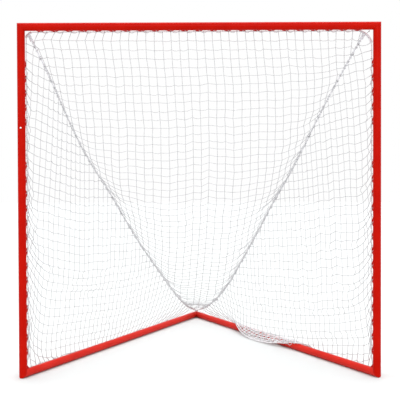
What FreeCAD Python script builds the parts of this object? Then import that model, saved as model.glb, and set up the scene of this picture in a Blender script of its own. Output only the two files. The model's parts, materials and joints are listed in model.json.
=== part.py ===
"""A full-size lacrosse goal: welded red tube frame in four knock-down sections, and a three-panel net.

Millimetres, +Z up.  The mouth faces -Y and the ground rails run back to an apex at +Y.
The origin is on the ground at the centre of the frame's footprint.
"""
import FreeCAD, Part
import math
import os

V = FreeCAD.Vector
INCH = 25.4
LEFT, RIGHT = -1, 1
SIDE_NAMES = {LEFT: "left", RIGHT: "right"}
UP = V(0, 0, 1)

# Driving sizes of the playing goal: six feet wide and high inside, seven feet deep.
MOUTH = 72 * INCH
DEPTH = 84 * INCH
TUBE_OD = 42.2
TUBE_WALL = 2.0
TUBE_R = TUBE_OD / 2

# Knock-down joints: a spigot inside the tubes and a spring button through the outer one.
JOINT_HEIGHT = 1275.0       # up the posts, from the ground
JOINT_REACH = 945.0         # back along the rails, from the post's axis
BUTTON_FROM_JOINT = 45.0
SPIGOT_GAP = 0.2            # radial clearance between spigot and tube
SPIGOT_WALL = 2.0
SPIGOT_HALF = 90.0          # length of spigot on each side of the joint
BUTTON_R = 4.5
BUTTON_HOLE_R = 4.8
BUTTON_PROUD = 3.5          # how far the button stands out of the tube
BUTTON_EDGE = 1.2           # rounding of the button's head
CLIP_WIDTH = 10.0
CLIP_THICK = 0.8
CLIP_LEG = 58.0
CLIP_CLEAR = 1.3            # from the clip's leaf to the spigot's bore
CLIP_GAP = 0.2              # between the clip's leaf and the button's foot

# Bent lacing rod behind every tube, the net's border rope and the cord that laces them together.
ROD_R = 3.0
ROD_PITCH = 3 * INCH
ROD_RISE = 14.0             # from a valley, where the rod is welded, to a crest
ROPE_R = 3.0
LACE_R = 1.5
ROPE_GAP = 0.5              # between the border rope and the rod's crests
ROPE_REACH = TUBE_R + 2 * ROD_R + ROD_RISE + ROPE_GAP + ROPE_R
LACE_REACH = ROPE_REACH - ROPE_R - ROPE_GAP / 2
LACE_TURN_R = 8.1
LACE_ANGLE = math.radians(28)       # posts and crossbar: from straight back towards the mouth
RAIL_LACE_ANGLE = math.radians(2)   # rails: up from straight outwards

# Where the rods lie along each tube, in whole waves.
BAR_WAVES = 23
POST_ROD_START = 95.0
POST_WAVES_LOW = 14
POST_WAVES_GAP = 2
POST_WAVES_HIGH = 5
RAIL_ROD_START = 57.0
RAIL_WAVES_FRONT = 11
RAIL_WAVES_GAP = 2
RAIL_WAVES_REAR = 14

# The border rope cuts each top corner with an arc.
ROPE_CORNER = {LEFT: 36.0, RIGHT: 78.0}
ROPE_FOOT = 88.0            # height of the mouth rope's lower ends
GROUND_ROPE_START = 48.0
GROUND_ROPE_LIFT_OFF = 2150.0   # from here it climbs over the rail
GROUND_ROPE_BEND = 60.0
GROUND_ROPE_END = 17.0          # beside the knot, from the centre plane
GROUND_ROPE_RISE = 9.0          # and above the rails

GUSSET_LEG = 34.0
GUSSET_THICK = 4.0
SEAM_R = 5.0
NET_THICK = 2.5
NET_CLEAR = 13.0            # from the lacing's axis to the edge of a net panel
SEAM_CLEAR = 15.0           # from a seam rope's axis to the edge of a net panel
KNOT_R = 12.0
KNOT_INSET = 33.0           # from the point where the rails' axes meet
KNOT_GAP = 1.0              # above the rails
BEND_SHARE = 0.45           # share of the shorter run that a free rope's bend may take up

# Fold of spare netting over the right rail: along the rail, then (out from the rail's axis, height).
FOLD_START = 880.0
FOLD_END = 1540.0
FOLD_TOP = (-30.0, 150.0)
FOLD_GROUND = (-92.0, 5.0)
FOLD_GROUND_BACK = (-84.0, 5.0)
FOLD_OVER_RAIL = (-12.0, 49.5)   # clear of the rail's button
FOLD_LACED = (26.0, 47.5)

# Sizes that follow.
POST_X = MOUTH / 2 + TUBE_R
BAR_Z = MOUTH + TUBE_R
RAIL_LENGTH = math.hypot(POST_X, DEPTH)
RAIL_SPREAD = math.atan2(POST_X, DEPTH)
FRONT_REACH = TUBE_R + BUTTON_PROUD
BACK_REACH = DEPTH + TUBE_R / math.sin(RAIL_SPREAD)
GOAL_LINE_Y = (FRONT_REACH - BACK_REACH) / 2
SPIGOT_R = TUBE_R - TUBE_WALL - SPIGOT_GAP
SPIGOT_BORE_R = SPIGOT_R - SPIGOT_WALL


def on_field(x, behind_line, z):
    """A point given by its distance behind the goal line."""
    return V(x, GOAL_LINE_Y + behind_line, z)


# The seams between the back panel and the side panels sag from the top corners to the apex,
# and the net's pull bows them inwards.
SEAM_POINTS = {
    LEFT: [
        (-900, 50, 1812), (-812, 189, 1608), (-731, 324, 1382), (-652, 472, 1186), (-545, 664, 996),
        (-453, 836, 804), (-348, 1049, 598), (-235, 1319, 404), (-138, 1629, 218), (-62, 1906, 103),
        (-16, 2084, 62),
    ],
    RIGHT: [
        (876, 50, 1814), (818, 176, 1693), (751, 294, 1550), (684, 415, 1396), (616, 544, 1228),
        (549, 668, 1077), (473, 804, 919), (395, 955, 743), (309, 1123, 552), (223, 1327, 358),
        (135, 1625, 196), (61, 1906, 99), (16, 2084, 62),
    ],
}
# Centre line of the back panel's belly: behind the goal line, height.
BELLY_POINTS = [(60, 1812), (376, 1334), (703, 860), (1100, 446), (1560, 165), (2060, 58)]


class Lane:
    """A straight line beside one tube, for the things laced to it."""

    def __init__(self, start, along, out):
        self.start = start
        self.along = along
        self.out = out

    def at(self, distance, reach):
        """The point this far along the tube and this far out from its axis."""
        return self.start + self.along * distance + self.out * reach


def post_axis(side):
    return on_field(side * POST_X, 0, 0)


def rail_direction(side):
    return V(-side * math.sin(RAIL_SPREAD), math.cos(RAIL_SPREAD), 0)


def rail_outward(side):
    return V(side * math.cos(RAIL_SPREAD), math.sin(RAIL_SPREAD), 0)


def bar_lane():
    out = V(0, math.cos(LACE_ANGLE), -math.sin(LACE_ANGLE))
    return Lane(on_field(0, 0, BAR_Z), V(1, 0, 0), out)


def post_lane(side):
    out = V(-side * math.sin(LACE_ANGLE), math.cos(LACE_ANGLE), 0)
    return Lane(post_axis(side), UP, out)


def rail_lane(side):
    out = rail_outward(side) * math.cos(RAIL_LACE_ANGLE) + UP * math.sin(RAIL_LACE_ANGLE)
    return Lane(post_axis(side) + UP * TUBE_R, rail_direction(side), out)


def hollow_tube(start, along, length, outer=TUBE_R, wall=TUBE_WALL):
    skin = Part.makeCylinder(outer, length, start, along)
    bore = Part.makeCylinder(outer - wall, length, start, along)
    return skin.cut(bore)


def flat_prism(corners, thickness_vector):
    """A plate: the polygon of the corners, thickened along the vector."""
    outline = Part.makePolygon(corners + corners[:1])
    return Part.Face(outline).extrude(thickness_vector)


# ---- Frame tubes ----------------------------------------------------------------------------

def mitre_block(corners):
    """A block whose outline in the mouth's plane is the given corners, deep enough for a tube."""
    front = [V(x, GOAL_LINE_Y - TUBE_OD, z) for x, z in corners]
    return flat_prism(front, V(0, 2 * TUBE_OD, 0))


def crossbar():
    tip = POST_X + TUBE_R
    root = POST_X - TUBE_R
    tube = hollow_tube(on_field(-tip, 0, BAR_Z), V(1, 0, 0), 2 * tip)
    keep = mitre_block([
        (-root, BAR_Z - TUBE_R), (root, BAR_Z - TUBE_R), (tip, BAR_Z + TUBE_R), (-tip, BAR_Z + TUBE_R),
    ])
    return tube.common(keep)


def button_hole(place, outward):
    """Cuts through one wall only, on the side the button comes out."""
    return Part.makeCylinder(BUTTON_HOLE_R, TUBE_OD, place, outward)


def upper_post(side):
    tube = hollow_tube(post_axis(side) + UP * JOINT_HEIGHT, UP, BAR_Z + TUBE_R - JOINT_HEIGHT)
    inner, outer = side * (POST_X - TUBE_R), side * (POST_X + TUBE_R)
    keep = mitre_block([
        (inner, JOINT_HEIGHT), (outer, JOINT_HEIGHT), (outer, BAR_Z + TUBE_R), (inner, BAR_Z - TUBE_R),
    ])
    place, outward = post_button(side)
    return tube.common(keep).cut(button_hole(place, outward))


def upright_block(side, corners):
    """A block whose outline in the rail's upright plane is the given (along the rail, height) corners."""
    along = rail_direction(side)
    half = rail_outward(side) * TUBE_OD
    outline = [post_axis(side) + along * reach + UP * height - half for reach, height in corners]
    return flat_prism(outline, half * 2)


def lower_post(side):
    """Its foot is mitred to the front end of the rail."""
    tube = hollow_tube(post_axis(side), UP, JOINT_HEIGHT)
    return tube.common(upright_block(side, [
        (-TUBE_OD, -TUBE_R), (TUBE_OD, 3 * TUBE_R), (TUBE_OD, JOINT_HEIGHT), (-TUBE_OD, JOINT_HEIGHT),
    ]))


def front_rail(side):
    along = rail_direction(side)
    tube = hollow_tube(post_axis(side) + UP * TUBE_R - along * TUBE_R, along, JOINT_REACH + TUBE_R)
    return tube.common(upright_block(side, [
        (-TUBE_OD, -TUBE_R), (TUBE_OD, 3 * TUBE_R), (JOINT_REACH, 3 * TUBE_R), (JOINT_REACH, -TUBE_R),
    ]))


def rear_rail(side):
    """The two rear rails are mitred together at the apex, on the goal's centre plane."""
    start = post_axis(side) + UP * TUBE_R + rail_direction(side) * JOINT_REACH
    cut_off = 3 * TUBE_OD
    tube = hollow_tube(start, rail_direction(side), RAIL_LENGTH - JOINT_REACH + cut_off)
    beyond = Part.makeBox(DEPTH, 2 * DEPTH, 2 * TUBE_OD, V(0, -DEPTH, -TUBE_OD / 2))
    if side == RIGHT:
        beyond.translate(V(-DEPTH, 0, 0))
    place, outward = rail_button(side)
    return tube.cut(beyond).cut(button_hole(place, outward))


def gusset(side):
    """A triangular plate welded in the corner between the post and the rail."""
    along = rail_direction(side)
    half = rail_outward(side) * (GUSSET_THICK / 2)
    corner = post_axis(side) + along * TUBE_R + UP * TUBE_OD - half
    return flat_prism([corner, corner + along * GUSSET_LEG, corner + UP * GUSSET_LEG], half * 2)


# ---- Knock-down joints ----------------------------------------------------------------------

def post_button(side):
    """Place on the post's axis and outward direction: front of the left post, back of the right."""
    place = post_axis(side) + UP * (JOINT_HEIGHT + BUTTON_FROM_JOINT)
    return place, V(0, side, 0)


def rail_button(side):
    """Place on the rail's axis and outward direction: straight up."""
    reach = JOINT_REACH + BUTTON_FROM_JOINT
    return post_axis(side) + UP * TUBE_R + rail_direction(side) * reach, UP


def spigot(joint, along, button):
    """The inner tube that carries the button and centres the two outer tubes."""
    tube = hollow_tube(joint - along * SPIGOT_HALF, along, 2 * SPIGOT_HALF, SPIGOT_R, SPIGOT_WALL)
    return tube.cut(button_hole(*button))


def snap_button(place, outward):
    """A round steel button with a softened head."""
    foot = SPIGOT_BORE_R - CLIP_CLEAR + CLIP_GAP
    head = TUBE_R + BUTTON_PROUD
    body = Part.makeCylinder(BUTTON_R, head - foot, place + outward * foot, outward)
    rim = [edge for edge in body.Edges if (edge.CenterOfMass - place).dot(outward) > head - BUTTON_EDGE]
    return body.makeFillet(BUTTON_EDGE, rim)


def spring_clip(place, along, outward):
    """A strip folded into a U: one leaf under the button, the other on the opposite wall."""
    reach = SPIGOT_BORE_R - CLIP_CLEAR
    across = along.cross(outward) * CLIP_WIDTH
    centre = place - across * 0.5
    leg = along * CLIP_LEG

    def leaf(height):
        return centre + outward * height - along * BUTTON_R * 2

    outer_top, outer_low = leaf(reach), leaf(-reach)
    inner_top, inner_low = leaf(reach - CLIP_THICK), leaf(CLIP_THICK - reach)
    fold = centre - along * BUTTON_R * 2 + leg
    edges = [
        Part.LineSegment(outer_top, outer_top + leg),
        Part.Arc(outer_top + leg, fold + along * reach, outer_low + leg),
        Part.LineSegment(outer_low + leg, outer_low),
        Part.LineSegment(outer_low, inner_low),
        Part.LineSegment(inner_low, inner_low + leg),
        Part.Arc(inner_low + leg, fold + along * (reach - CLIP_THICK), inner_top + leg),
        Part.LineSegment(inner_top + leg, inner_top),
        Part.LineSegment(inner_top, outer_top),
    ]
    outline = Part.Wire([edge.toShape() for edge in edges])
    return Part.Face(outline).extrude(across)


# ---- Lacing rods, ropes and cords -------------------------------------------------------------

def swept_round(path, radius):
    """A round bar along a smooth path."""
    first = path.Edges[0]
    start = first.valueAt(first.FirstParameter)
    heading = first.tangentAt(first.FirstParameter)
    if first.Orientation == "Reversed":
        start = first.valueAt(first.LastParameter)
        heading = first.tangentAt(first.LastParameter) * -1
    profile = Part.Wire([Part.makeCircle(radius, start, heading)])
    return path.makePipeShell([profile], True, True)


def lacing_rod(lane, first, waves):
    """A rod bent to and fro in equal arcs, welded to the tube at every valley."""
    half_wave = ROD_PITCH / 2
    bend = (half_wave ** 2 + ROD_RISE ** 2) / (4 * ROD_RISE)
    lean = math.asin(half_wave / 2 / bend)
    valley = TUBE_R + ROD_R

    def on_bend(index, angle):
        rise = bend * (1 - math.cos(angle))
        if index % 2 == 1:
            rise = ROD_RISE - rise
        return lane.at(first + index * half_wave + bend * math.sin(angle), valley + rise)

    edges = []
    for index in range(2 * waves + 1):
        begin = 0 if index == 0 else -lean
        end = 0 if index == 2 * waves else lean
        middle = (begin + end) / 2
        arc = Part.Arc(on_bend(index, begin), on_bend(index, middle), on_bend(index, end))
        edges.append(arc.toShape())
    return swept_round(Part.Wire(edges), ROD_R)


def rounded_path(points, radii=None):
    """Straight runs joined by tangent arcs, each as large as its runs allow unless it is given."""
    edges = []
    bends = []
    here = points[0]
    for index in range(1, len(points) - 1):
        corner = points[index]
        back = points[index - 1] - corner
        ahead = points[index + 1] - corner
        half_turn = (math.pi - back.getAngle(ahead)) / 2
        radius = BEND_SHARE * min(back.Length, ahead.Length) / math.tan(half_turn)
        if radii:
            radius = radii[index - 1]
        trim = radius * math.tan(half_turn)
        back.normalize()
        ahead.normalize()
        begin = corner + back * trim
        end = corner + ahead * trim
        inward = back + ahead
        inward.normalize()
        middle = corner + inward * (radius / math.cos(half_turn) - radius)
        edges.append(Part.makeLine(here, begin))
        edges.append(Part.Arc(begin, middle, end).toShape())
        bends.append(radius)
        here = end
    edges.append(Part.makeLine(here, points[-1]))
    return Part.Wire(edges), bends


def mouth_rope():
    """The net's border rope, down behind both posts and along behind the crossbar."""
    low = {side: post_lane(side).at(ROPE_FOOT, ROPE_REACH) for side in (LEFT, RIGHT)}
    top = bar_lane().at(0, ROPE_REACH).z
    points = [low[LEFT], V(low[LEFT].x, low[LEFT].y, top), V(low[RIGHT].x, low[RIGHT].y, top), low[RIGHT]]
    path, _ = rounded_path(points, [ROPE_CORNER[LEFT], ROPE_CORNER[RIGHT]])
    return swept_round(path, ROPE_R)


def ground_rope(side):
    """The border rope along a rail; it crosses over the rail to the knot at the apex."""
    lane = rail_lane(side)
    over = on_field(side * GROUND_ROPE_END, DEPTH - KNOT_INSET, TUBE_OD + GROUND_ROPE_RISE)
    points = [lane.at(GROUND_ROPE_START, ROPE_REACH), lane.at(GROUND_ROPE_LIFT_OFF, ROPE_REACH), over]
    path, _ = rounded_path(points, [GROUND_ROPE_BEND])
    return swept_round(path, ROPE_R)


def lacing_cord(lane, first, turns):
    """A helix round the border rope and the rod; it passes under the rod at every crest."""
    helix = Part.makeHelix(ROD_PITCH, ROD_PITCH * turns, LACE_TURN_R)
    cord = swept_round(Part.Wire(helix.Edges), LACE_R)
    start = lane.at(first, LACE_REACH)
    to_tube = lane.out * -1
    across = lane.along.cross(to_tube)
    to_lane = FreeCAD.Matrix(
        to_tube.x, across.x, lane.along.x, start.x,
        to_tube.y, across.y, lane.along.y, start.y,
        to_tube.z, across.z, lane.along.z, start.z,
        0, 0, 0, 1,
    )
    return cord.transformed(to_lane)


# ---- Net --------------------------------------------------------------------------------------

def seam_points(side):
    return [on_field(*point) for point in SEAM_POINTS[side]]


def seam_rope(side):
    path, bends = rounded_path(seam_points(side))
    rope = swept_round(path, SEAM_R)
    expected = math.pi * SEAM_R ** 2 * path.Length
    print(f"{SIDE_NAMES[side]} seam rope: length {path.Length:.0f} mm, "
          f"tightest bend {min(bends):.0f} mm, volume over section x length {rope.Volume / expected:.4f}")
    return rope


def seam_station(side, share):
    """The point this share of the way along the seam's runs."""
    points = seam_points(side)
    runs = [end - start for start, end in zip(points, points[1:])]
    ahead = share * sum(run.Length for run in runs)
    for start, run in zip(points, runs):
        if ahead <= run.Length:
            return start + run * (ahead / run.Length)
        ahead -= run.Length
    return points[-1]


def back_net():
    """Flat three-cornered pieces from the crossbar to the apex, hanging in a belly between the seams."""
    thickness = V(0, NET_THICK, NET_THICK)
    last = len(BELLY_POINTS) - 1
    rows = []
    for index, (behind_line, height) in enumerate(BELLY_POINTS[:-1]):
        left = seam_station(LEFT, index / last) + V(SEAM_CLEAR, 0, 0)
        right = seam_station(RIGHT, index / last) - V(SEAM_CLEAR, 0, 0)
        rows.append([left, on_field(0, behind_line, height), right])
    pieces = []
    for upper, lower in zip(rows, rows[1:]):
        for column in (0, 1):
            a, b = upper[column], upper[column + 1]
            c, d = lower[column], lower[column + 1]
            pieces.append(flat_prism([a, b, d], thickness))
            pieces.append(flat_prism([a, d, c], thickness))
    apex = on_field(0, *BELLY_POINTS[-1])
    left, middle, right = rows[-1]
    pieces.append(flat_prism([left, middle, apex], thickness))
    pieces.append(flat_prism([middle, right, apex], thickness))
    return pieces


def side_net(side):
    """Pairs of upright three-cornered pieces, between the seam and the lacing along the rail."""
    low = rail_lane(side).at(0, LACE_REACH) + UP * NET_CLEAR
    along = rail_direction(side)
    thickness = rail_outward(side) * NET_THICK
    tops = [seam - UP * SEAM_CLEAR for seam in seam_points(side)[:-1]]
    feet = [low + along * (top - low).dot(along) for top in tops]
    pieces = []
    for top, next_top, foot, next_foot in zip(tops, tops[1:], feet, feet[1:]):
        pieces.append(flat_prism([foot, top, next_top], thickness))
        pieces.append(flat_prism([foot, next_top, next_foot], thickness))
    return pieces


def net_fold(side):
    """Spare netting at the foot of a side panel: in over the rail, down to the ground and back."""
    axis = post_axis(side)
    along = rail_direction(side)
    outward = rail_outward(side)

    def strip(section, reaches, next_reaches):
        (out, height), (next_out, next_height) = section
        edge = [axis + along * reach + outward * out + UP * height for reach in reaches]
        next_edge = [axis + along * reach + outward * next_out + UP * next_height for reach in next_reaches]
        return flat_prism(edge + next_edge[::-1], UP * NET_THICK)

    middle = (FOLD_START + FOLD_END) / 2
    wide = (FOLD_START, FOLD_END)
    narrow = ((FOLD_START + middle) / 2, (FOLD_END + middle) / 2)
    return [
        strip((FOLD_TOP, FOLD_GROUND), narrow, wide),
        strip((FOLD_GROUND_BACK, FOLD_OVER_RAIL), wide, wide),
        strip((FOLD_OVER_RAIL, FOLD_LACED), wide, wide),
    ]


def net_panel(side):
    """The right panel carries spare netting that lies over its rail."""
    strips = side_net(side)
    if side == RIGHT:
        strips += net_fold(side)
    return Part.makeCompound(strips)


def apex_knot():
    """Where the seam ropes and the ground ropes are tied off, on top of the apex."""
    return Part.makeSphere(KNOT_R, on_field(0, DEPTH - KNOT_INSET, TUBE_OD + KNOT_R + KNOT_GAP))


def build():
    parts = {"crossbar": crossbar()}
    for side in (LEFT, RIGHT):
        name = SIDE_NAMES[side]
        along = rail_direction(side)
        parts[f"{name}_upper_post"] = upper_post(side)
        parts[f"{name}_lower_post"] = lower_post(side)
        parts[f"{name}_front_rail"] = front_rail(side)
        parts[f"{name}_rear_rail"] = rear_rail(side)
        parts[f"{name}_corner_gusset"] = gusset(side)

        post_joint = post_axis(side) + UP * JOINT_HEIGHT
        parts[f"{name}_post_spigot"] = spigot(post_joint, UP, post_button(side))
        parts[f"{name}_post_snap_button"] = snap_button(*post_button(side))
        parts[f"{name}_post_spring_clip"] = spring_clip(post_button(side)[0], UP * -1, post_button(side)[1])
        rail_joint = post_axis(side) + UP * TUBE_R + along * JOINT_REACH
        parts[f"{name}_rail_spigot"] = spigot(rail_joint, along, rail_button(side))
        parts[f"{name}_rail_snap_button"] = snap_button(*rail_button(side))
        parts[f"{name}_rail_spring_clip"] = spring_clip(rail_button(side)[0], along * -1, UP)

        post_high = POST_ROD_START + (POST_WAVES_LOW + POST_WAVES_GAP) * ROD_PITCH
        parts[f"{name}_lower_post_lacing_rod"] = lacing_rod(post_lane(side), POST_ROD_START, POST_WAVES_LOW)
        parts[f"{name}_upper_post_lacing_rod"] = lacing_rod(post_lane(side), post_high, POST_WAVES_HIGH)
        rail_rear = RAIL_ROD_START + (RAIL_WAVES_FRONT + RAIL_WAVES_GAP) * ROD_PITCH
        parts[f"{name}_front_rail_lacing_rod"] = lacing_rod(rail_lane(side), RAIL_ROD_START, RAIL_WAVES_FRONT)
        parts[f"{name}_rear_rail_lacing_rod"] = lacing_rod(rail_lane(side), rail_rear, RAIL_WAVES_REAR)

        post_turns = POST_WAVES_LOW + POST_WAVES_GAP + POST_WAVES_HIGH - 1
        rail_turns = RAIL_WAVES_FRONT + RAIL_WAVES_GAP + RAIL_WAVES_REAR - 1
        first_crest = ROD_PITCH / 2
        parts[f"{name}_post_lacing_cord"] = lacing_cord(
            post_lane(side), POST_ROD_START + first_crest, post_turns)
        parts[f"{name}_rail_lacing_cord"] = lacing_cord(
            rail_lane(side), RAIL_ROD_START + first_crest, rail_turns)
        parts[f"{name}_ground_rope"] = ground_rope(side)
        parts[f"{name}_seam_rope"] = seam_rope(side)
        parts[f"{name}_net_panel"] = net_panel(side)

    bar_start = -BAR_WAVES * ROD_PITCH / 2
    parts["crossbar_lacing_rod"] = lacing_rod(bar_lane(), bar_start, BAR_WAVES)
    parts["crossbar_lacing_cord"] = lacing_cord(bar_lane(), bar_start + ROD_PITCH / 2, BAR_WAVES - 1)
    parts["mouth_border_rope"] = mouth_rope()
    parts["back_net_panel"] = Part.makeCompound(back_net())
    parts["apex_knot"] = apex_knot()
    return parts


def main():
    os.makedirs("parts", exist_ok=True)
    for name, shape in build().items():
        shape.exportStep(os.path.join("parts", name + ".step"))
        box = shape.BoundBox
        print(f"{name}: {len(shape.Solids)} solid(s), {shape.Volume / 1000:.1f} cm3, "
              f"z {box.ZMin:.1f} to {box.ZMax:.1f}, valid {shape.isValid()}")


main()
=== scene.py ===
"""Looks of the lacrosse goal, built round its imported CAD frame: hung netting, laid ropes and finishes."""
import json
import math
import bpy
import numpy as np
from mathutils import Euler, Matrix, Vector


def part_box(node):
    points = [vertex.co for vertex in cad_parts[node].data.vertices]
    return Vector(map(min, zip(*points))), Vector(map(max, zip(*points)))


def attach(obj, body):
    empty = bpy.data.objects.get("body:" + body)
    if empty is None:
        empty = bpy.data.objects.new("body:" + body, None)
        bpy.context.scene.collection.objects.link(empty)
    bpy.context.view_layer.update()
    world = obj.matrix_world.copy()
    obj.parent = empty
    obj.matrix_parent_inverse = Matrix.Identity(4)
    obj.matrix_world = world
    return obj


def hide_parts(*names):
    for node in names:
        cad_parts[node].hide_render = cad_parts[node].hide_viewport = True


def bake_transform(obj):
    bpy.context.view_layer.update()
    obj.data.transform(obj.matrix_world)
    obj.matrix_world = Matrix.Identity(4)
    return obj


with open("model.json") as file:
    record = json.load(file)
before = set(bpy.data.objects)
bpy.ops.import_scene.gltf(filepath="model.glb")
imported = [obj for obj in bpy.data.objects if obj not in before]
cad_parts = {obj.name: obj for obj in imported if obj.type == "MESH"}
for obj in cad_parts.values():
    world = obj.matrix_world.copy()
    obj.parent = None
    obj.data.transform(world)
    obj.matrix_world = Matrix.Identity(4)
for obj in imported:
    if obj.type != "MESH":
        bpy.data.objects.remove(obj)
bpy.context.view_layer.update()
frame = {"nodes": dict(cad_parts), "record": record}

FRAME_BODY = "goal_frame"
LEFT, RIGHT = -1, 1
SIDE_NAMES = {LEFT: "left", RIGHT: "right"}
SIDES_BY_NAME = [(SIDE_NAMES[side], side) for side in (LEFT, RIGHT)]
INCH = 0.0254
UP = np.array([0.0, 0.0, 1.0])
ACROSS = np.array([1.0, 0.0, 0.0])
STEEP = 0.9                 # rise of a heading, over its length, from which it counts as steep
TINY = 1e-9                 # the least that a length counts as where something is divided by it

# Seeds of the random draws.
BACK_SEED = 1
SIDE_SEEDS = {LEFT: 1, RIGHT: 3}
FOLD_SEED = 9


# ---- Sizes, read from the frame ---------------------------------------------------------------

def middle_of(node):
    """The middle of a node's box."""
    low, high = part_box(node)
    return (low + high) / 2


POST = middle_of("right_lower_post")
POST_X = POST.x
GOAL_LINE_Y = POST.y
BAR_Z = middle_of("crossbar").z
TUBE_R = (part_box("right_lower_post")[1].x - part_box("right_lower_post")[0].x) / 2
DEPTH = 84 * INCH
RAIL_SPREAD = math.atan2(POST_X, DEPTH)

# The lacing's own sizes, as the frame has them.
ROPE_R = 0.003
ROPE_REACH = 0.0446
LACE_ANGLE = math.radians(28)
RAIL_LACE_ANGLE = math.radians(2)
ROPE_CORNER = {LEFT: 0.036, RIGHT: 0.078}
ROPE_FOOT = 0.088
GROUND_ROPE_START = 0.048
GROUND_ROPE_LIFT_OFF = 2.150
GROUND_ROPE_BEND = 0.060
GROUND_ROPE_END = 0.017
GROUND_ROPE_RISE = 0.009
KNOT_INSET = 0.033
KNOT_R = 0.012

# Ropes are laid from three strands. The lay is the length of one turn.
STRANDS = 3
STRAND_PRESS = 1.06         # strands are this much thicker than ones that only touch
SEAM_R = 0.005
SEAM_LAY = 0.034
SEAM_STEP = 0.006           # length of one ring of a rope's skin
SEAM_SIDES = 10
ROPE_LAY = 0.020
ROPE_STEP = 0.0045
ROPE_SIDES = 8
KNOT_ROPE_R = 0.0042
KNOT_ROPE_LAY = 0.018
KNOT_POINTS = 97
KNOT_DEPTH = 1.6            # of the tied knot, and its reach, both in its formula's units
KNOT_REACH = 3.2
ARC_STEPS = 12              # points round a bend of a border rope
WHIPPING_R = 0.0024
WHIPPING_PITCH = 0.0052
WHIPPING_STEPS = 12         # to each turn
WHIPPING_INSET = 2          # steps of the corner's arc that are left bare at each end
SEAM_BINDING = 0.034        # length of a seam rope that is bound at its head
SEAM_BINDING_START = 0.008  # the binding starts this far before the head
HEAD_POINTS = 4             # points of a seam's line that give the heading of its head

# Netting: square mesh, hung a little slack.
MESH = 0.048
TWINE_R = 0.0017
HALF_COLUMNS = 20.3         # of the back panel, from its middle column to each top corner
BOTTOM_HALF_COLUMNS = 1.7
BACK_COLUMNS = range(-int(HALF_COLUMNS), int(HALF_COLUMNS) + 1)
BACK_ROWS = 62
APEX_ROW = 59               # the middle columns are tied off here, the rows below are in the knot
TOP_SPARE = 1.03            # longest row of the back panel, over the gap between the seams
BACK_SPARE = 1.25           # and from this row down
SPARE_ROWS = 36
LEAN = 2.2                  # columns by which the back panel is pulled to the right, under its top rows
LEAN_ROWS = 6
BAR_PITCH = 0.0438          # spacing of the back panel's columns along the crossbar
BAR_MIDDLE = 0.026          # where its middle column is laced
POST_ROWS = 40
RAIL_COLUMNS = 45
SIDE_SPARE = 1.02           # longest column of a side panel, over its drop
SIDE_SAG = 0.06             # and this much more where the panel sags most
SAG_COLUMN = {LEFT: 13, RIGHT: 10}
SAG_WIDTH = {LEFT: 4, RIGHT: 6}
SIDE_ROW_SPARE = 1.03       # shortest row of a side panel, over the gap it spans
UNEVEN = 0.03               # spread of the mesh's sizes
UNEVEN_MOST = 2             # none is off by more than this many times the spread
RAIL_FIRST = 0.05           # side panels are laced to the rail from here to where its rope lifts off
POST_LOW = 0.075            # height of the lowest row on a post
RAIL_PITCH = (GROUND_ROPE_LIFT_OFF - RAIL_FIRST) / RAIL_COLUMNS
TIE_GAP = 0.25              # no knot is nearer to a tie than this, in meshes
SHORTEST_END = 0.2          # of a row, in meshes
FIRST_BELLY = np.array([0, 0.02, 0.05])     # how far forward and down the back panel's middle starts
BUNCH_PITCH = 0.004         # spacing of the columns that are tied off together at the apex
BUNCH_FORWARD = 0.008       # and how far in front of the knot's middle that is
FINE_STEPS = 10             # to each row, to find where a column meets its seam
TWINE_SIDES = 6
KNOT_CLEAR = 0.003          # knots stay this far off the ground and the rail
NETTING_KNOT_R = (0.0024, 0.0031)
HITCH_POINTS = 9            # of the turn of twine at a tie
HITCH_SIDES = 5
HITCH_BED = 0.6             # the turn stands off its rope by this share of the twine's radius

# How the net is let down.
BACK_STEPS = 3000
SIDE_STEPS = 2400
DRAG = 0.985                # share of its speed that a knot keeps at each step
FALL = 2.0e-5               # metres that gravity adds to a knot's fall at each step
FADE = 2.5                  # gravity fades out over the last 1 / FADE of the steps
PASSES = 3                  # rounds of pulling the cords short, at each step

# How a slack length of twine lies between two knots.
TWINE_SHARES = np.array([0.0, 1 / 3, 2 / 3])
ARC_DEPTH = 3 / 8           # a shallow arc's depth squared, over its span times its slack
DEEPEST_SAG = 0.35          # over the twine's length
SAG_SPREAD = np.array([1.0, 1.0, 0.3])      # how it wavers from straight down, along X, Y and Z
SAG_WAVER = {"row": 0.5, "column": 1.0}     # and by how much

# A tie belongs to a seam or to the crossbar's rope if it is this near.
NEAR_SEAM = 0.03
NEAR_BAR = 0.01

# Spare netting on the right lies over the rail, along this stretch of it.
FOLD_START = 0.700
FOLD_END = 1.760
FOLD_REACH = 0.092          # how far inside the rail's axis it lies on the ground, in the middle
FOLD_TAPER = 0.8            # how soon it gets there from either end
FOLD_DRAPE = [(-0.012, 0.0500), (0.026, 0.0480)]    # over the rail: out from its axis, height
FOLD_LAYERS = 3             # the top one is the panel itself
FOLD_LAYER_DROP = 0.0022    # each lies this far under the one before
FOLD_ROWS = 8
FOLD_LEAST_ROWS = 3         # of the panel's own rows that lie in the fold
FOLD_RUMPLE = np.array([0.004, 0.004, 0.0008])      # spread of the under layers' knots


def on_field(x, behind_line, z):
    """A point given by its distance behind the goal line."""
    return np.array([x, GOAL_LINE_Y + behind_line, z])


class Lane:
    """A straight line beside one tube, for the things laced to it."""

    def __init__(self, start, along, out):
        self.start = start
        self.along = along
        self.out = out

    def at(self, distance, reach):
        return self.start + self.along * distance + self.out * reach


def rail_direction(side):
    return np.array([-side * math.sin(RAIL_SPREAD), math.cos(RAIL_SPREAD), 0.0])


def rail_outward(side):
    return np.array([side * math.cos(RAIL_SPREAD), math.sin(RAIL_SPREAD), 0.0])


def bar_lane():
    """Along the crossbar from its middle, and out to its lacing."""
    out = np.array([0.0, math.cos(LACE_ANGLE), -math.sin(LACE_ANGLE)])
    return Lane(on_field(0, 0, BAR_Z), ACROSS, out)


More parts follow.
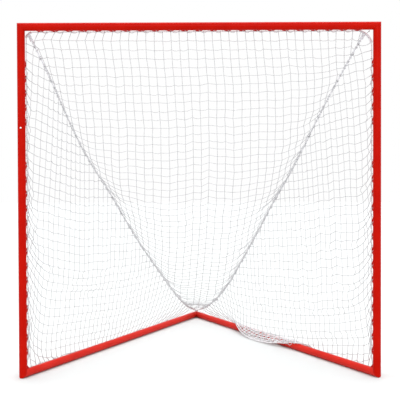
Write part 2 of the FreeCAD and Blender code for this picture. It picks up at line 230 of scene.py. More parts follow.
def post_lane(side):
    """Up a post from the ground, and out to its lacing."""
    out = np.array([-side * math.sin(LACE_ANGLE), math.cos(LACE_ANGLE), 0.0])
    return Lane(on_field(side * POST_X, 0, 0), UP, out)


def rail_lane(side):
    """Back along a rail from its post, and out to its lacing."""
    out = rail_outward(side) * math.cos(RAIL_LACE_ANGLE) + UP * math.sin(RAIL_LACE_ANGLE)
    return Lane(on_field(side * POST_X, 0, TUBE_R), rail_direction(side), out)


def settle(piece, slot_name, *nodes):
    """Rides a new piece on the frame, in place of CAD nodes."""
    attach(piece, FRAME_BODY)
    if nodes:
        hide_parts(*nodes)
    return piece


# ---- Camera -----------------------------------------------------------------------------------

CAMERA_PLACE = (-0.0598, -4.7037, 1.0305)   # across, behind the goal line, height
CAMERA_LENS = 80.34                         # for a picture 36 mm wide
CAMERA_SHIFT = 0.0342
CAMERA_TURN = 0.0020
CAMERA_DIP = 0.01965
CAMERA_ROLL = -0.0034


def make_camera():
    """Square on to the mouth, a little above half its height."""
    data = bpy.data.cameras.new("camera")
    data.sensor_width = 36.0
    data.lens = CAMERA_LENS
    data.shift_x = CAMERA_SHIFT
    data.clip_end = 100.0
    camera = bpy.data.objects.new("camera", data)
    bpy.context.scene.collection.objects.link(camera)
    place = Matrix.Translation(Vector(on_field(*CAMERA_PLACE)))
    turn = Matrix.Rotation(CAMERA_TURN, 4, "Z") @ Matrix.Rotation(math.pi / 2 - CAMERA_DIP, 4, "X")
    camera.matrix_world = place @ turn @ Matrix.Rotation(CAMERA_ROLL, 4, "Z")
    bpy.context.scene.camera = camera


# ---- Ropes ------------------------------------------------------------------------------------

# What steers each seam rope's line: across, behind the goal line, height.
SEAM_POINTS = {
    LEFT: [
        (-0.900, 0.050, 1.812), (-0.812, 0.189, 1.608), (-0.731, 0.324, 1.382), (-0.652, 0.472, 1.186),
        (-0.545, 0.664, 0.996), (-0.453, 0.836, 0.804), (-0.348, 1.049, 0.598), (-0.235, 1.319, 0.404),
        (-0.138, 1.629, 0.218), (-0.062, 1.906, 0.103), (-0.016, 2.084, 0.062),
    ],
    RIGHT: [
        (0.876, 0.050, 1.814), (0.818, 0.176, 1.693), (0.751, 0.294, 1.550), (0.684, 0.415, 1.396),
        (0.616, 0.544, 1.228), (0.549, 0.668, 1.077), (0.473, 0.804, 0.919), (0.395, 0.955, 0.743),
        (0.309, 1.123, 0.552), (0.223, 1.327, 0.358), (0.135, 1.625, 0.196), (0.061, 1.906, 0.099),
        (0.016, 2.084, 0.062),
    ],
}


def smooth_line(points):
    """The points along one smooth curve that the given points steer."""
    data = bpy.data.curves.new("route", "CURVE")
    data.dimensions = "3D"
    data.resolution_u = 24
    spline = data.splines.new("NURBS")
    spline.points.add(len(points) - 1)
    for place, point in zip(spline.points, points):
        place.co = (*point, 1.0)
    spline.order_u = 3
    spline.use_endpoint_u = True
    route = bpy.data.objects.new("route", data)
    bpy.context.scene.collection.objects.link(route)
    mesh = bpy.data.meshes.new_from_object(route)
    line = np.array([vertex.co for vertex in mesh.vertices])
    bpy.data.objects.remove(route)
    bpy.data.curves.remove(data)
    bpy.data.meshes.remove(mesh)
    return line


def distances(line):
    """How far along the line each of its points is."""
    return np.concatenate([[0.0], np.cumsum(np.linalg.norm(np.diff(line, axis=0), axis=1))])


def resample(line, step):
    """The same line with points at even steps."""
    reach = distances(line)
    count = max(2, int(round(reach[-1] / step)) + 1)
    even = np.linspace(0, reach[-1], count)
    return np.stack([np.interp(even, reach, line[:, axis]) for axis in range(3)], axis=1)


def unit(vectors):
    """The vectors, each made one long."""
    return vectors / np.maximum(np.linalg.norm(vectors, axis=-1, keepdims=True), TINY)


def tangents(line):
    """The line's heading at each of its points."""
    ahead = np.vstack([line[1:] - line[:-1], line[-1:] - line[-2:-1]])
    behind = np.vstack([ahead[:1], ahead[:-1]])
    return unit(unit(ahead) + unit(behind))


def square_to(direction):
    """A unit vector square to a direction: level, unless the direction is steep."""
    steep = abs(direction[2]) >= STEEP
    square = np.cross(direction, ACROSS if steep else UP)
    return square / np.linalg.norm(square)


def carried_frames(line):
    """Two directions square to the line at each point, carried along it without twist."""
    along = tangents(line)
    sides = [square_to(along[0])]
    for heading in along[1:]:
        side = sides[-1] - heading * sides[-1].dot(heading)
        sides.append(side / np.linalg.norm(side))
    sides = np.array(sides)
    return sides, np.cross(along, sides)


class Skin:
    """Vertices, faces and twine coordinates of many round lengths, gathered into one mesh."""

    def __init__(self):
        self.points = []
        self.faces = []
        self.marks = []
        self.count = 0

    def add(self, points, faces, marks):
        self.points.append(points)
        self.faces.append(np.asarray(faces) + self.count)
        self.marks.append(marks)
        self.count += len(points)

    def tube(self, line, radius, sides, frames=None):
        """A closed round tube along a line."""
        across, over = frames if frames is not None else carried_frames(line)
        rings = len(line)
        turn = np.arange(sides) * (2 * math.pi / sides)
        cosine, sine = np.cos(turn)[None, :, None], np.sin(turn)[None, :, None]
        circle = across[:, None] * cosine + over[:, None] * sine
        ring_points = line[:, None] + circle * radius
        points = np.concatenate([ring_points.reshape(-1, 3), line[:1], line[-1:]])
        index = np.arange(rings * sides).reshape(rings, sides)
        next_index = np.roll(index, -1, axis=1)
        quads = np.stack([index[:-1], next_index[:-1], next_index[1:], index[1:]], axis=-1).reshape(-1, 4)
        start, end = rings * sides, rings * sides + 1
        caps = [(start, next_index[0, k], index[0, k], index[0, k]) for k in range(sides)]
        caps += [(end, index[-1, k], next_index[-1, k], next_index[-1, k]) for k in range(sides)]
        reach = distances(line)
        marks = np.stack([np.tile(turn / (2 * math.pi), rings), np.repeat(reach, sides)], axis=1)
        marks = np.concatenate([marks, [[0.5, 0.0], [0.5, reach[-1]]]])
        self.add(points, np.concatenate([quads, np.array(caps)]), marks)

    def hitch(self, centre, axis, radius):
        """One turn of twine round a rope."""
        across = square_to(axis)
        over = np.cross(axis, across)
        turn = np.linspace(0, 2 * math.pi, HITCH_POINTS)[:, None]
        loop = centre + (across * np.cos(turn) + over * np.sin(turn)) * (radius + HITCH_BED * TWINE_R)
        self.tube(loop, TWINE_R, HITCH_SIDES)

    def lumps(self, centres, sizes, shape):
        """A copy of a small shape at each centre."""
        points, faces = shape
        for centre, size in zip(centres, sizes):
            self.add(centre + points * size, faces, np.zeros((len(points), 2)))

    def piece(self, name):
        """The finished mesh as an object, with its twine coordinates as a UV map."""
        points = np.concatenate(self.points)
        quads = np.concatenate(self.faces)
        faces = [tuple(dict.fromkeys(face)) for face in quads.tolist()]
        mesh = bpy.data.meshes.new(name)
        mesh.from_pydata(points.tolist(), [], faces)
        marks = np.concatenate(self.marks)
        layer = mesh.uv_layers.new(name="twine")
        corners = np.zeros(len(mesh.loops), np.int32)
        mesh.loops.foreach_get("vertex_index", corners)
        layer.data.foreach_set("uv", marks[corners].astype(np.float32).ravel())
        mesh.polygons.foreach_set("use_smooth", np.full(len(mesh.polygons), True))
        mesh.validate()
        mesh.update()
        piece = bpy.data.objects.new(name, mesh)
        bpy.context.scene.collection.objects.link(piece)
        return piece


def laid_rope(skin, line, radius, lay, sides):
    """Twisted strands whose outer envelope has the rope's radius."""
    strand_r = radius / (1 + 1 / math.sin(math.pi / STRANDS)) * STRAND_PRESS
    centre_r = radius - strand_r
    across, over = carried_frames(line)
    reach = distances(line)
    for strand in range(STRANDS):
        turn = 2 * math.pi * (reach / lay + strand / STRANDS)
        offset = across * np.cos(turn)[:, None] + over * np.sin(turn)[:, None]
        skin.tube(line + offset * centre_r, strand_r, sides)


def seam_rope(side):
    """A seam's rope, from a top corner down to the apex; gives back its line."""
    name = SIDE_NAMES[side]
    line = smooth_line([on_field(*point) for point in SEAM_POINTS[side]])
    skin = Skin()
    laid_rope(skin, resample(line, SEAM_STEP), SEAM_R, SEAM_LAY, SEAM_SIDES)
    rope = skin.piece(f"{name}_seam_cord")
    settle(rope, "white_rope", f"{name}_seam_rope")
    float(distances(line)[-1])
    return line


def arc(corner, start_direction, end_direction, radius):
    """Points round a rounded corner, from one direction to the other."""
    half = math.acos(np.clip(np.dot(-start_direction, end_direction), -1, 1)) / 2
    trim = radius / math.tan(half)
    inward = unit(end_direction - start_direction)
    centre = corner + inward * (radius / math.sin(half))
    begin = corner - start_direction * trim
    end = corner + end_direction * trim
    shares = np.linspace(0, 1, ARC_STEPS)[:, None]
    chord = begin + (end - begin) * shares
    return centre + unit(chord - centre) * radius


def top_corner(side):
    """The border rope's arc across a top corner, from its post to the crossbar."""
    corner = post_lane(side).at(0, ROPE_REACH)
    corner[2] = bar_lane().at(0, ROPE_REACH)[2]
    return arc(corner, UP, ACROSS * -side, ROPE_CORNER[side])


def mouth_rope_line():
    """Up the left post, along the crossbar and down the right post."""
    low = {side: post_lane(side).at(ROPE_FOOT, ROPE_REACH) for side in (LEFT, RIGHT)}
    return np.concatenate([low[LEFT][None], top_corner(LEFT), top_corner(RIGHT)[::-1], low[RIGHT][None]])


def ground_rope_line(side):
    """Back along a rail, then over it to the knot at the apex."""
    lane = rail_lane(side)
    start = lane.at(GROUND_ROPE_START, ROPE_REACH)
    lift = lane.at(GROUND_ROPE_LIFT_OFF, ROPE_REACH)
    over = on_field(side * GROUND_ROPE_END, DEPTH - KNOT_INSET, 2 * TUBE_R + GROUND_ROPE_RISE)
    bend = arc(lift, lane.along, unit(over - lift), GROUND_ROPE_BEND)
    return np.concatenate([start[None], bend, over[None]])


def border_rope(name, line, node, seams=None):
    """A rope along an edge of the net; with the seams given, its corners are whipped too."""
    skin = Skin()
    laid_rope(skin, resample(line, ROPE_STEP), ROPE_R, ROPE_LAY, ROPE_SIDES)
    if seams:
        corner_whippings(skin, seams)
    return settle(skin.piece(name), "white_rope", node)


def apex_knot():
    """A trefoil of rope, where everything is tied off above the apex."""
    turn = np.linspace(0, 2 * math.pi, KNOT_POINTS)
    loop = np.stack([
        np.sin(turn) + 2 * np.sin(2 * turn),
        np.cos(turn) - 2 * np.cos(2 * turn),
        -KNOT_DEPTH * np.sin(3 * turn),
    ], axis=1)
    centre = np.array(middle_of("apex_knot"))
    skin = Skin()
    laid_rope(skin, centre + loop * (KNOT_R / KNOT_REACH), KNOT_ROPE_R, KNOT_ROPE_LAY, ROPE_SIDES)
    return settle(skin.piece("tied_apex"), "white_rope", "apex_knot")


def whipping(skin, line, reach):
    """Close turns of cord round a rope, along a line."""
    turns = int(distances(line)[-1] / WHIPPING_PITCH)
    line = resample(line, WHIPPING_PITCH / WHIPPING_STEPS)
    across, over = carried_frames(line)
    angle = np.linspace(0, 2 * math.pi * turns, len(line))[:, None]
    skin.tube(line + (across * np.cos(angle) + over * np.sin(angle)) * reach, WHIPPING_R, ROPE_SIDES)


def corner_whippings(skin, seams):
    """The border rope is whipped round both top corners, and each seam rope's head is bound to it."""
    for side in (LEFT, RIGHT):
        whipping(skin, top_corner(side)[WHIPPING_INSET:-WHIPPING_INSET], ROPE_R + WHIPPING_R)
        head = seams[side][0]
        heading = unit(seams[side][HEAD_POINTS] - head)
        bound = np.array([head - heading * SEAM_BINDING_START, head + heading * SEAM_BINDING])
        whipping(skin, bound, SEAM_R + WHIPPING_R)


# ---- Netting ----------------------------------------------------------------------------------

class Netting:
    """Knots joined by cords that go slack but don't stretch, let down until they hang still."""

    def __init__(self, seed):
        self.random = np.random.default_rng(seed)
        self.places = []
        self.held = []
        self.names = {}
        self.cords = {}
        self.chains = {"row": [], "column": []}

    def knot(self, name, place, held=False):
        self.names[name] = len(self.places)
        self.places.append(np.asarray(place, float))
        self.held.append(held)

    def chain(self, kind, names, lengths):
        """A run of twine through knots, with the length of each part."""
        knots = [self.names[name] for name in names]
        draws = self.random.normal(0, 1, len(lengths)).clip(-UNEVEN_MOST, UNEVEN_MOST)
        lengths = list(np.array(lengths) * (1 + UNEVEN * draws))
        self.chains[kind].append((knots, lengths))
        for index, length in enumerate(lengths):
            group = self.cords.setdefault((kind, index % 2), [])
            group.append((knots[index], knots[index + 1], length))

    def hang(self, steps, clear=None):
        """Lets the net down until it hangs still. clear(points) moves points out of what they lie on."""
        points = np.array(self.places)
        free = (~np.array(self.held)).astype(float)
        groups = []
        for cords in self.cords.values():
            a = np.array([cord[0] for cord in cords])
            b = np.array([cord[1] for cord in cords])
            groups.append((a, b, np.array([cord[2] for cord in cords]), free[a], free[b]))
        before = points.copy()
        pull = np.zeros_like(points)
        pull[:, 2] = -1.0
        for step in range(steps):
            strength = FALL * min(1.0, FADE * (steps - step) / steps)
            moved = points + (points - before) * DRAG + pull * strength * free[:, None]
            before = points
            points = np.where(free[:, None] > 0, moved, points)
            for _ in range(PASSES):
                for a, b, length, free_a, free_b in groups:
                    gap = points[b] - points[a]
                    size = np.linalg.norm(gap, axis=1)
                    over = np.maximum(size - length, 0.0)
                    share = over / np.maximum(size * (free_a + free_b), TINY)
                    shift = gap * share[:, None]
                    points[a] += shift * free_a[:, None]
                    points[b] -= shift * free_b[:, None]
            if clear is not None:
                points = clear(points)
        self.points = points


def along_line(line, share):
    """The point this share of the way along a line."""
    reach = distances(line)
    return np.array([np.interp(share * reach[-1], reach, line[:, axis]) for axis in range(3)])


class BackPanel:
    """Where the back panel meets the seams. Rows count from the crossbar down, columns from the middle."""

    def __init__(self, seams):
        self.seams = seams
        self.fine_rows = np.linspace(0, BACK_ROWS, FINE_STEPS * BACK_ROWS + 1)
        self.fine_widths = {
            side: np.array([self.width(side, row) for row in self.fine_rows]) for side in (LEFT, RIGHT)
        }

    def seam_at(self, side, row):
        return along_line(self.seams[side], row / BACK_ROWS)

    def gap(self, row):
        """From seam to seam."""
        return np.linalg.norm(self.seam_at(RIGHT, row) - self.seam_at(LEFT, row))

    def width(self, side, row):
        """Meshes from the middle column to a seam; what doesn't fit is gathered into the seam."""
        narrowing = (HALF_COLUMNS - BOTTOM_HALF_COLUMNS) / BACK_ROWS
        meshes = min(HALF_COLUMNS - narrowing * row, BACK_SPARE * self.gap(row) / (2 * MESH))
        lean = LEAN * min(1.0, row / LEAN_ROWS) * (1 - row / BACK_ROWS)
        return meshes - side * lean

    def end_row(self, column):
        """Where a column meets its seam, or the tie at the apex."""
        if column == 0:
            return APEX_ROW
        past = self.fine_rows[self.fine_widths[LEFT if column < 0 else RIGHT] >= abs(column)]
        return min(APEX_ROW, past[-1]) if len(past) else 0.0

    def first_place(self, column, row):
        """Where a knot is before the net is let down."""
        left, right = self.seam_at(LEFT, row), self.seam_at(RIGHT, row)
        share = (self.width(LEFT, row) + column) / (self.width(LEFT, row) + self.width(RIGHT, row))
        return left + (right - left) * share - FIRST_BELLY * (4 * share * (1 - share))

    def end_place(self, column):
        """Where a column's lower end is tied: into the bunch at the apex, or to its seam."""
        last = self.end_row(column)
        if last < APEX_ROW:
            return self.seam_at(LEFT if column < 0 else RIGHT, last)
        apex = on_field(0, DEPTH - KNOT_INSET, 2 * TUBE_R + KNOT_R)
        return apex + np.array([column * BUNCH_PITCH, -BUNCH_FORWARD, 0])


def add_back_column(net, panel, column):
    last = panel.end_row(column)
    net.knot((column, 0), bar_lane().at(column * BAR_PITCH + BAR_MIDDLE, ROPE_REACH), held=True)
    for row in range(1, BACK_ROWS):
        if row > last - TIE_GAP:
            break
        net.knot((column, row), panel.first_place(column, row))
    net.knot((column, "end"), panel.end_place(column), held=True)
    rows = [row for row in range(BACK_ROWS) if (column, row) in net.names]
    lengths = [MESH] * (len(rows) - 1) + [MESH * max(last - rows[-1], TIE_GAP)]
    net.chain("column", [(column, row) for row in rows] + [(column, "end")], lengths)


def add_back_row(net, panel, row):
    """A row, pulled shorter where it has more spare length than the panel has there."""
    columns = [column for column in BACK_COLUMNS if (column, row) in net.names]
    for side in (LEFT, RIGHT):
        net.knot((side, "row end", row), panel.seam_at(side, row), held=True)
    left_width, right_width = panel.width(LEFT, row), panel.width(RIGHT, row)
    left_edge = MESH * max(left_width + columns[0], SHORTEST_END)
    right_edge = MESH * max(right_width - columns[-1], SHORTEST_END)
    names = [(LEFT, "row end", row), *((column, row) for column in columns), (RIGHT, "row end", row)]
    spare = TOP_SPARE + (BACK_SPARE - TOP_SPARE) * min(1.0, row / SPARE_ROWS)
    closing = min(1.0, spare * panel.gap(row) / (MESH * (left_width + right_width)))
    lengths = [left_edge] + [MESH] * (len(columns) - 1) + [right_edge]
    net.chain("row", names, [length * closing for length in lengths])


def back_netting(seams):
    """Columns from the crossbar's rope down to the seams and the apex, rows from seam to seam."""
    net = Netting(BACK_SEED)
    panel = BackPanel(seams)
    for column in BACK_COLUMNS:
        add_back_column(net, panel, column)
    for row in range(1, APEX_ROW):
        add_back_row(net, panel, row)
    net.hang(BACK_STEPS)
    return net


def first_row(column):
    """The row at which a side panel's column starts, on the seam."""
    return POST_ROWS * column / RAIL_COLUMNS


def last_column(row):
    """The column at which a side panel's row ends, on the seam."""
    return RAIL_COLUMNS * row / POST_ROWS


def rail_tie(side, column):
    """Where a side panel's column is laced to the rail."""
    return rail_lane(side).at(RAIL_FIRST + RAIL_PITCH * column, ROPE_REACH)


def rail_row(side, seam, column):
    """The row that a side panel's column has got to where it is laced to the rail."""
    drop = np.linalg.norm(rail_tie(side, column) - along_line(seam, column / RAIL_COLUMNS))
    sag = SIDE_SAG * math.exp(-((column - SAG_COLUMN[side]) / SAG_WIDTH[side]) ** 2)
    return min(POST_ROWS, first_row(column) + (SIDE_SPARE + sag) * drop / MESH)


def fold_at(side, column):
    """The spare netting's way from the ground over the rail to its lacing, if there is any."""
    reach = RAIL_FIRST + RAIL_PITCH * column
    if side == RIGHT and FOLD_START < reach < FOLD_END:
        return fold_way(reach)
    return None


def add_side_column(net, side, seam, column):
    """A column from the seam down to the rail's rope; in the fold, it lies where the fold does."""
    top = along_line(seam, column / RAIL_COLUMNS)
    place = rail_tie(side, column)
    first = first_row(column)
    fold = fold_at(side, column)
    if fold is None:
        down = place
        landed = last = rail_row(side, seam, column)
    else:
        down = fold[0]
        last = POST_ROWS
        landed = min(last - FOLD_LEAST_ROWS, first + SIDE_SPARE * np.linalg.norm(down - top) / MESH)
    net.knot((column, "top"), top, held=True)
    net.knot((column, "foot"), place, held=True)
    rows = [row for row in range(1, POST_ROWS) if first + TIE_GAP < row < last - TIE_GAP]
    for row in rows:
        if row < landed:
            net.knot((column, row), top + (down - top) * (row - first) / (landed - first))
        else:
            net.knot((column, row), along_line(fold, (row - landed) / (last - landed)), held=True)
    if rows:
        names = [(column, "top"), *((column, row) for row in rows), (column, "foot")]
        lengths = [MESH * (rows[0] - first)] + [MESH] * (len(rows) - 1) + [MESH * (last - rows[-1])]
        net.chain("column", names, lengths)


def side_row_runs(net, row):
    """A row's stretches between ties; where it is gathered it runs along the rail's lacing."""
    run = [(0, row)]
    for column in range(1, int(last_column(row)) + 1):
        if (column, row) in net.names:
            run.append((column, row))
        elif row > first_row(column) + TIE_GAP:
            yield run + [(column, "foot")]
            run = [(column, "foot")]
    yield run + [("seam", row)]


def add_side_row(net, row):
    """A row, opened where its meshes would be too few for the gap that it spans."""
    for run in side_row_runs(net, row):
        lengths = [MESH] * (len(run) - 1)
        if run[-1][0] == "seam":
            lengths[-1] = MESH * max(last_column(row) - run[-2][0], SHORTEST_END)
        gap = np.linalg.norm(net.places[net.names[run[-1]]] - net.places[net.names[run[0]]])
        opening = max(1.0, SIDE_ROW_SPARE * gap / sum(lengths))
        net.chain("row", run, [length * opening for length in lengths])


def clear_of_rail(side):
    """Makes the function that keeps a side panel's knots above the ground and outside its rail."""
    along = rail_direction(side)
    axis = on_field(side * POST_X, 0, TUBE_R)

    def clear(points):
        points[:, 2] = np.maximum(points[:, 2], KNOT_CLEAR)
        from_axis = points - axis
        from_axis -= np.outer(from_axis @ along, along)
        away = np.linalg.norm(from_axis, axis=1)
        short = np.maximum(TUBE_R + KNOT_CLEAR - away, 0.0)
        return points + unit(from_axis) * short[:, None]

    return clear


def side_netting(side, seam):
    """Rows from the post's rope back to the seam, columns from the seam down to the rail's rope."""
    net = Netting(SIDE_SEEDS[side])
    high = seam[0][2]
    for row in range(1, POST_ROWS):
        height = high + (POST_LOW - high) * row / POST_ROWS
        net.knot((0, row), post_lane(side).at(height, ROPE_REACH), held=True)
        net.knot(("seam", row), along_line(seam, row / POST_ROWS), held=True)
    for column in range(1, RAIL_COLUMNS):
        add_side_column(net, side, seam, column)
    for row in range(1, POST_ROWS):
        add_side_row(net, row)
    net.hang(SIDE_STEPS, clear=clear_of_rail(side))
    return net


def fold_way(reach):
    """The spare netting's way, at this distance along the right rail, from its lower edge up and over."""
    share = (reach - FOLD_START) / (FOLD_END - FOLD_START)
    cover = math.sin(math.pi * share) ** FOLD_TAPER
    beside = on_field(RIGHT * POST_X, 0, 0) + rail_direction(RIGHT) * reach
    outward = rail_outward(RIGHT)
    over = [beside + outward * out + UP * height for out, height in FOLD_DRAPE]
    whole = np.array([
        beside - outward * FOLD_REACH + UP * KNOT_CLEAR, *over, rail_lane(RIGHT).at(reach, ROPE_REACH),
    ])
    return np.array([along_line(whole, step) for step in np.linspace(1 - cover, 1, FOLD_ROWS)])


def doubled_fold():
    """The under layers of the spare netting, gathered closer than it is meshed."""
    random = np.random.default_rng(FOLD_SEED)
    skin = Skin()
    for layer in range(1, FOLD_LAYERS):
        reaches = np.arange(FOLD_START + RAIL_PITCH * layer / FOLD_LAYERS, FOLD_END, RAIL_PITCH)
        knots = []
        for reach in reaches:
            way = fold_way(reach)
            way[1:-1, 2] -= FOLD_LAYER_DROP * layer
            shares = (np.arange(FOLD_ROWS) + layer / FOLD_LAYERS) / FOLD_ROWS
            column = np.array([along_line(way, share) for share in shares])
            column[1:] += random.normal(0, 1, (FOLD_ROWS - 1, 3)) * FOLD_RUMPLE
            knots.append(column)
        knots = np.array(knots)
        for line in [*knots, *np.swapaxes(knots, 0, 1)]:
            skin.tube(line, TWINE_R, TWINE_SIDES)
    return settle(skin.piece("spare_netting"), "white_netting")


def strand_line(net, knots, lengths, kind, random):
    """The twine's path through its knots, with slack parts let down between them."""
    parts = []
    for a, b, length in zip(knots, knots[1:], lengths):
        begin, end = net.points[a], net.points[b]
        gap = end - begin
        size = np.linalg.norm(gap)
        slack = max(0.0, length - size)
        depth = min(math.sqrt(ARC_DEPTH * size * slack), DEEPEST_SAG * length)
        heading = gap / max(size, TINY)
        sag = -UP + SAG_SPREAD * random.normal(0, SAG_WAVER[kind], 3)
        sag = sag - heading * sag.dot(heading)
        sag = sag / max(np.linalg.norm(sag), TINY)
        curve = 4 * TWINE_SHARES * (1 - TWINE_SHARES) * depth
        parts.append(begin + gap * TWINE_SHARES[:, None] + sag * curve[:, None])
    parts.append(net.points[knots[-1]][None])
    line = np.concatenate(parts)
    line[:, 2] = np.maximum(line[:, 2], TWINE_R)
    return line


def small_knot():
    """A twenty-sided lump, one in radius."""
    golden = (1 + math.sqrt(5)) / 2
    points = np.array([
        (-1, golden, 0), (1, golden, 0), (-1, -golden, 0), (1, -golden, 0),
        (0, -1, golden), (0, 1, golden), (0, -1, -golden), (0, 1, -golden),
        (golden, 0, -1), (golden, 0, 1), (-golden, 0, -1), (-golden, 0, 1),
    ]) / math.hypot(1, golden)
    faces = [
        (0, 11, 5), (0, 5, 1), (0, 1, 7), (0, 7, 10), (0, 10, 11), (1, 5, 9), (5, 11, 4), (11, 10, 2),
        (10, 7, 6), (7, 1, 8), (3, 9, 4), (3, 4, 2), (3, 2, 6), (3, 6, 8), (3, 8, 9), (4, 9, 5),
        (2, 4, 11), (6, 2, 10), (8, 6, 7), (9, 8, 1),
    ]
    return points, np.array([face + face[-1:] for face in faces])


def lacing_hitches(skin, net, seams):
    """A turn of twine round the rope at every place where the net is tied to it."""
    for knots, _ in net.chains["row"] + net.chains["column"]:
        for end in (knots[0], knots[-1]):
            if not net.held[end]:
                continue
            point = net.points[end]
            axis, radius = rope_at(point, seams)
            skin.hitch(point, axis, radius)


def rope_at(point, seams):
    """Direction and radius of the rope that passes through a point."""
    for line in seams:
        away = np.linalg.norm(line - point, axis=1)
        near = int(np.argmin(away[:-1]))
        if away[near] < NEAR_SEAM:
            return unit(line[near + 1] - line[near]), SEAM_R
    side = LEFT if point[0] < 0 else RIGHT
    if abs(point[2] - bar_lane().at(0, ROPE_REACH)[2]) < NEAR_BAR:
        return ACROSS, ROPE_R
    if point[2] > ROPE_REACH:
        return UP, ROPE_R
    return rail_direction(side), ROPE_R


def knit(name, net, node, seed, references, seams):
    """The mesh of a hung net: a tube for each run of twine and a lump at each knot."""
    random = np.random.default_rng(seed)
    skin = Skin()
    for kind, chains in net.chains.items():
        for knots, lengths in chains:
            line = strand_line(net, knots, lengths, kind, random)
            along = tangents(line)
            across = unit(np.cross(along, references[kind]))
            skin.tube(line, TWINE_R, TWINE_SIDES, frames=(across, np.cross(along, across)))
    lacing_hitches(skin, net, seams)
    centres = net.points[~np.array(net.held)]
    skin.lumps(centres, random.uniform(*NETTING_KNOT_R, len(centres)), small_knot())
    return settle(skin.piece(name), "white_netting", node)


# ---- Spring clips -----------------------------------------------------------------------------

def sprung_clip(name):
    """A button's clip, as a copy of its CAD node, which it hides; the leaf under the button is found but
    not moved.
    """
    node = f"{name}_spring_clip"
    clip = bpy.data.objects.new(f"{name}_spring", frame["nodes"][node].data.copy())
    bpy.context.scene.collection.objects.link(clip)
    low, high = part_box(node)
    centre = (low + high) / 2
    gap = middle_of(f"{name}_snap_button") - centre
    axis = 2 if name.endswith("rail") else 1
    leaf = centre.copy()
    leaf[axis] = high[axis] if gap[axis] > 0 else low[axis]
    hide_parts(node)
    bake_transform(clip)
    return clip


# ---- Materials --------------------------------------------------------------------------------

NOISE_RANGE = (0.3, 0.7)    # noise hardly goes past these


class Finish:
    """A node material under construction, with short names for the nodes that repeat."""

    def __init__(self, name):
        self.material = bpy.data.materials.new(name)
        self.material.use_nodes = True
        self.tree = self.material.node_tree
        self.shader = self.tree.nodes["Principled BSDF"]

    def node(self, kind, **values):
        """A new node, with values for its properties or its sockets."""
        made = self.tree.nodes.new(kind)
        for key, value in values.items():
            if hasattr(made, key):
                setattr(made, key, value)
            else:
                made.inputs[key.replace("_", " ").title()].default_value = value
        return made

    def link(self, start, end):
        self.tree.links.new(start, end)

    def noise(self, scale, detail=4.0):
        """Noise in the object's own space."""
        made = self.node("ShaderNodeTexNoise", Scale=scale, Detail=detail, Roughness=0.55)
        self.link(self.node("ShaderNodeTexCoord").outputs["Object"], made.inputs["Vector"])
        return made.outputs["Fac"]

    def ramp(self, source, low, high):
        """From one colour or value to another over the noise's range."""
        made = self.node("ShaderNodeValToRGB")
        for element, place, colour in zip(made.color_ramp.elements, NOISE_RANGE, (low, high)):
            element.position = place
            if not hasattr(colour, "__len__"):
                colour = (colour, colour, colour)
            element.color = (*colour, 1.0)
        self.link(source, made.inputs["Fac"])
        return made.outputs["Color"]

    def bump(self, source, strength, distance):
        made = self.node("ShaderNodeBump", Strength=strength, Distance=distance)
        self.link(source, made.inputs["Height"])
        self.link(made.outputs["Normal"], self.shader.inputs["Normal"])

    def set(self, **values):
        """Values for the shader's own sockets."""
        for key, value in values.items():
            self.shader.inputs[key.replace("_", " ")].default_value = value


def red_paint(name, dark, light):
    """Powder coat: faint blotches and a fine orange peel."""
    finish = Finish(name)
    finish.set(**{"Specular IOR Level": 0.04})
    blotch = finish.noise(scale=9.0)
    speck = finish.noise(scale=420.0, detail=3.0)
    finish.link(finish.ramp(blotch, dark, light), finish.shader.inputs["Base Color"])
    finish.link(finish.ramp(speck, 0.26, 0.40), finish.shader.inputs["Roughness"])
    finish.bump(speck, strength=0.25, distance=0.0004)
    return finish.material


def zinc_steel():
    """Dull zinc plate with a fine grain."""
    finish = Finish("zinc plate")
    finish.set(Metallic=1.0)
    grain = finish.noise(scale=260.0, detail=5.0)
    cloud = finish.noise(scale=40.0)
    base = finish.ramp(cloud, (0.62, 0.63, 0.64), (0.76, 0.77, 0.78))
    finish.link(base, finish.shader.inputs["Base Color"])
    finish.link(finish.ramp(grain, 0.28, 0.5), finish.shader.inputs["Roughness"])
    finish.bump(grain, strength=0.15, distance=0.0002)
    return finish.material


def twine(name, light, dark, lay):
    """White twisted twine: fibres wound round its length, one turn to each lay."""
    finish = Finish(name)
    finish.set(Roughness=0.78, **{"Sheen Weight": 0.25})
    marks = finish.node("ShaderNodeUVMap", uv_map="twine")
    stretch = finish.node("ShaderNodeMapping")
    stretch.inputs["Scale"].default_value = (2.0, 1.0 / lay, 1.0)
    finish.link(marks.outputs["UV"], stretch.inputs["Vector"])
    wave = finish.node("ShaderNodeTexWave", bands_direction="DIAGONAL", Scale=0.5)
    finish.link(stretch.outputs["Vector"], wave.inputs["Vector"])
    cloud = finish.noise(scale=30.0)
    finish.link(finish.ramp(cloud, dark, light), finish.shader.inputs["Base Color"])
    finish.bump(wave.outputs["Fac"], strength=0.5, distance=0.0004)
    return finish.material


def paint(piece, material):
    piece.data.materials.clear()
    piece.data.materials.append(material)


def lacing_cord_finish():
    return twine("lacing cord", light=(0.60, 0.60, 0.61), dark=(0.52, 0.52, 0.53), lay=0.006)


def rope_finish():
    return twine("white rope", light=(0.77, 0.76, 0.79), dark=(0.69, 0.68, 0.71), lay=0.008)


def net_finish():
    return twine("white netting twine", light=(0.56, 0.56, 0.574), dark=(0.49, 0.49, 0.503), lay=0.004)


# Much lighter than the net's own twine: painted light on the spare netting, which lies lit near the ground.
def painted_light_net_finish():
    return twine("painted_light_netting_twine", light=(0.92, 0.90, 0.92), dark=(0.80, 0.78, 0.80), lay=0.004)


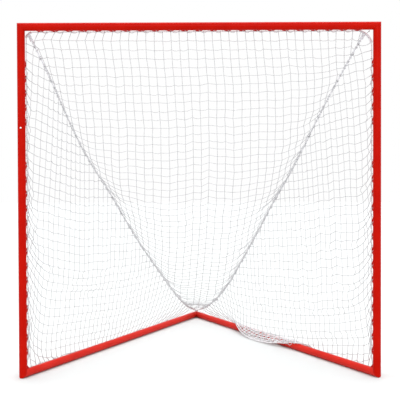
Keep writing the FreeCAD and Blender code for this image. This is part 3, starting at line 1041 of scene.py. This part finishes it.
def paint_frame(clips):
    """Finishes for the frame's own nodes and for the clips; the rails get a lighter red, which is painted
    light from above.
    """
    rope = lacing_cord_finish()
    red = red_paint("red powder coat", dark=(0.42, 0.0035, 0.0005), light=(0.47, 0.0055, 0.0008))
    # The rails' lighter red is painted top light, not a fade of the paint.
    painted_top_light = red_paint("red powder coat, faded", dark=(0.53, 0.016, 0.009), light=(0.60, 0.022, 0.013))
    slots = {"red_paint": red, "zinc_steel": zinc_steel(), "white_rope": rope}
    for clip in clips:
        paint(clip, slots["zinc_steel"])
    for part in frame["record"]["subparts"]:
        finish = slots.get(part["material_slot"])
        if finish is not None and part["node"] in frame["nodes"]:
            paint(frame["nodes"][part["node"]], painted_top_light if part["node"].endswith("_rail") else finish)


# ---- Stage ------------------------------------------------------------------------------------

FLOOR_HALF = 40.0
FLOOR_DROP = 0.001          # under the rails, so that they share no face with it


def make_floor():
    """A pale floor, lit to just past white."""
    half = FLOOR_HALF
    corners = [(-half, -half, 0), (half, -half, 0), (half, half, 0), (-half, half, 0)]
    mesh = bpy.data.meshes.new("floor")
    mesh.from_pydata(corners, [], [(0, 1, 2, 3)])
    floor = bpy.data.objects.new("floor", mesh)
    floor.location.z = -FLOOR_DROP
    bpy.context.scene.collection.objects.link(floor)
    pale = Finish("pale floor")
    pale.set(**{"Base Color": (0.642, 0.655, 0.655, 1.0), "Roughness": 1.0, "Specular IOR Level": 0.0})
    paint(floor, pale.material)


def make_world():
    """Even white light from all round."""
    world = bpy.data.worlds.new("studio")
    world.use_nodes = True
    world.node_tree.nodes["Background"].inputs["Color"].default_value = (1.0, 1.0, 1.0, 1.0)
    world.node_tree.nodes["Background"].inputs["Strength"].default_value = 1.0
    bpy.context.scene.world = world
    bpy.context.scene.view_settings.view_transform = "Standard"


def light(name, kind, place, tilt, energy):
    """A light over the goal, tilted from straight down by so many degrees."""
    data = bpy.data.lights.new(name, kind)
    data.energy = energy
    lamp = bpy.data.objects.new(name, data)
    lamp.location = place
    lamp.rotation_euler = Euler((math.radians(tilt), 0, 0))
    bpy.context.scene.collection.objects.link(lamp)
    return data


def make_lights():
    """Two wide suns, from above and from the front, and a large lamp over the goal."""
    sky = light("sky", "SUN", place=(0, 2, 5), tilt=-16, energy=1.9)
    sky.angle = math.radians(60)
    front = light("front", "SUN", place=(0, -6, 3), tilt=66, energy=1.0)
    front.angle = math.radians(30)
    overhead = light("overhead", "AREA", place=(0, GOAL_LINE_Y + 1.0, 4.6), tilt=0, energy=16)
    overhead.shape = "SQUARE"
    overhead.size = 3.0


# ---- All of it --------------------------------------------------------------------------------

BACK_FACING = np.array([0, 0.8, 0.6])       # roughly square to the back panel


def make_ropes(seams):
    """The edge ropes and the tied apex, painted with the seams' ropes."""
    ropes = [border_rope("mouth_border_cord", mouth_rope_line(), "mouth_border_rope", seams), apex_knot()]
    for name, side in SIDES_BY_NAME:
        ropes.append(border_rope(f"{name}_ground_cord", ground_rope_line(side), f"{name}_ground_rope"))
    ropes += [bpy.data.objects[f"{name}_seam_cord"] for name, _ in SIDES_BY_NAME]
    finish = rope_finish()
    for rope in ropes:
        paint(rope, finish)


def make_nets(seams):
    """The three panels and the spare netting over the right rail."""
    references = {"row": BACK_FACING, "column": ACROSS}
    back = back_netting(seams)
    nets = [knit("back_netting", back, "back_net_panel", BACK_SEED, references, seams.values())]
    for name, side in SIDES_BY_NAME:
        net = side_netting(side, seams[side])
        references = {"row": UP, "column": rail_direction(side)}
        node = f"{name}_net_panel"
        nets.append(knit(f"{name}_netting", net, node, SIDE_SEEDS[side], references, [seams[side]]))
    finish = net_finish()
    for net in nets:
        paint(net, finish)
    paint(doubled_fold(), painted_light_net_finish())


def main():
    make_camera()
    seams = {side: seam_rope(side) for side in (LEFT, RIGHT)}
    make_ropes(seams)
    make_nets(seams)
    clips = [sprung_clip(f"{name}_{where}") for name, _ in SIDES_BY_NAME for where in ("post", "rail")]
    paint_frame(clips)
    make_floor()
    make_world()
    make_lights()


main()
